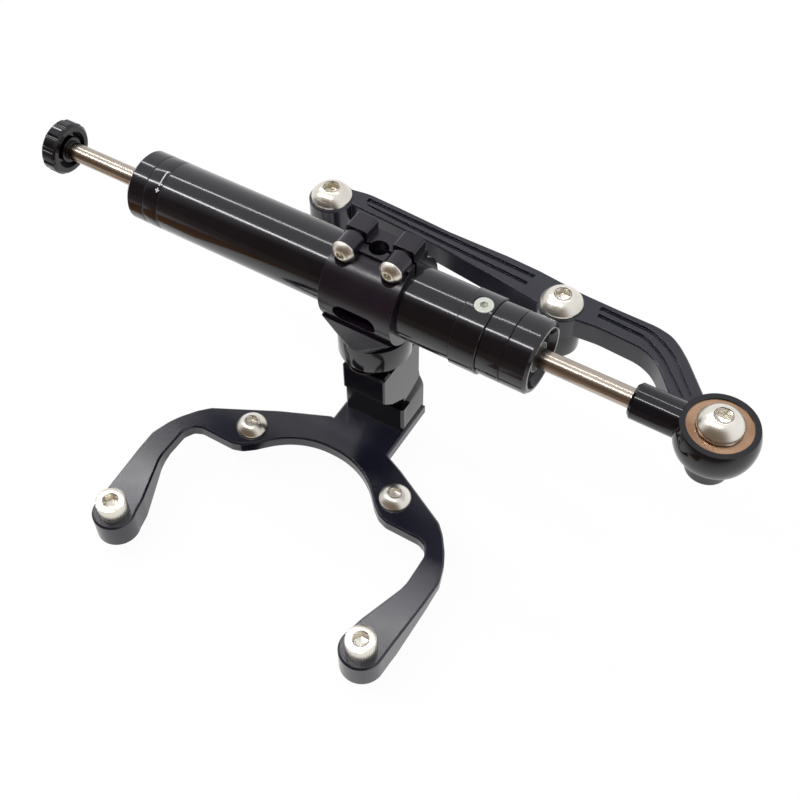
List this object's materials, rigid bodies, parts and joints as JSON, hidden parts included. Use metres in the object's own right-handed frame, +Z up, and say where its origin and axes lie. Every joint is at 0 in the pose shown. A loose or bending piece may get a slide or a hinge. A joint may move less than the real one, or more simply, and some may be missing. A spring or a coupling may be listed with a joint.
{
  "type": "steering damper",
  "caption": "Adjustable through-rod steering damper on a swivelling clamp and U-shaped tank bracket, with a ball-jointed steering arm.",
  "frame": {"origin": "midway between the two shoulder bolts, 3.5 mm above the faces of the bracket's tip pads", "axes": "+Z up along the bolts, +X along the damper towards the rod end, +Y from the bracket's legs to the post"},
  "size_m": [0.3215, 0.1604, 0.1368],
  "materials": {
    "black_anodised": "gloss black anodised",
    "satin_black": "satin black anodised",
    "black_coated": "gloss black coated",
    "stainless": "polished stainless",
    "chromed": "hard chromed and polished",
    "bronze": "machined bronze",
    "steel": "plain",
    "alloy": "bare machined",
    "rubber": "matt",
    "ptfe": "filled PTFE"
  },
  "bodies": {
    "base": {"tank_bracket": "black_anodised", "bracket_post": "black_anodised", "post_screws": "steel", "shoulder_bolts": "stainless", "tip_screws": "stainless", "swivel_bushes": "bronze"},
    "damper": {"swivel_bolt": "steel", "swivel_neck": "black_anodised", "damper_clamp": "satin_black", "clamp_screws": "stainless", "cylinder_tube": "black_anodised", "rear_ring": "black_anodised", "rear_cap": "black_anodised", "filler_collar": "black_anodised", "filler_plug": "alloy", "reservoir_housing": "black_anodised", "front_cap": "black_anodised", "bulkhead": "alloy", "rod_bushes": "bronze", "rod_seals": "rubber", "rod_wipers": "rubber", "gland_orings": "rubber"},
    "compensator": {"compensator_piston": "alloy", "compensator_oring": "rubber"},
    "rod": {"piston": "alloy", "piston_ring": "ptfe", "valve_shims": "steel", "piston_clips": "steel", "piston_rod": "chromed", "rod_end": "black_coated", "bearing_race": "bronze"},
    "knob": {"adjuster_knob": "black_coated", "knob_screw": "steel"},
    "needle": {"adjuster_needle": "steel", "needle_oring": "rubber"},
    "ball": {"bearing_ball": "chromed", "end_bolt": "stainless", "end_spacer": "steel"},
    "arm": {"steering_arm": "black_anodised", "arm_bolts": "stainless", "arm_spacers": "black_anodised"}
  },
  "joints": [
    {"name": "swivel", "type": "hinge", "parent": "base", "child": "damper", "pos_m": [0.0086, 0.0255, 0.05], "axis": [0, 0, 1], "range_deg": [-18, 18]},
    {"name": "rod_slide", "type": "slide", "parent": "damper", "child": "rod", "axis": [1, 0, 0], "range_m": [-0.034, 0.038]},
    {"name": "compensator_float", "type": "slide", "parent": "damper", "child": "compensator", "axis": [1, 0, 0], "range_m": [-0.0018, 0.006]},
    {"name": "adjuster_turn", "type": "hinge", "parent": "rod", "child": "knob", "pos_m": [-0.1495, 0.0325, 0.0983], "axis": [1, 0, 0], "range_deg": [-180, 540]},
    {"name": "needle_travel", "type": "slide", "parent": "knob", "child": "needle", "axis": [1, 0, 0], "range_m": [-0.0005, 0.0013]},
    {"name": "ball_tilt", "type": "hinge", "parent": "rod", "child": "ball", "pos_m": [0.1527, 0.0325, 0.0983], "axis": [1, 0, 0], "range_deg": [-4, 4]},
    {"name": "arm_turn", "type": "hinge", "parent": "ball", "child": "arm", "pos_m": [0.1527, 0.0325, 0.0983], "axis": [0, 0, 1], "range_deg": [-30, 2]}
  ],
  "couplings": [
    {"joint": "needle_travel", "follows": "adjuster_turn", "m_per_rad": 0.00012732}
  ]
}
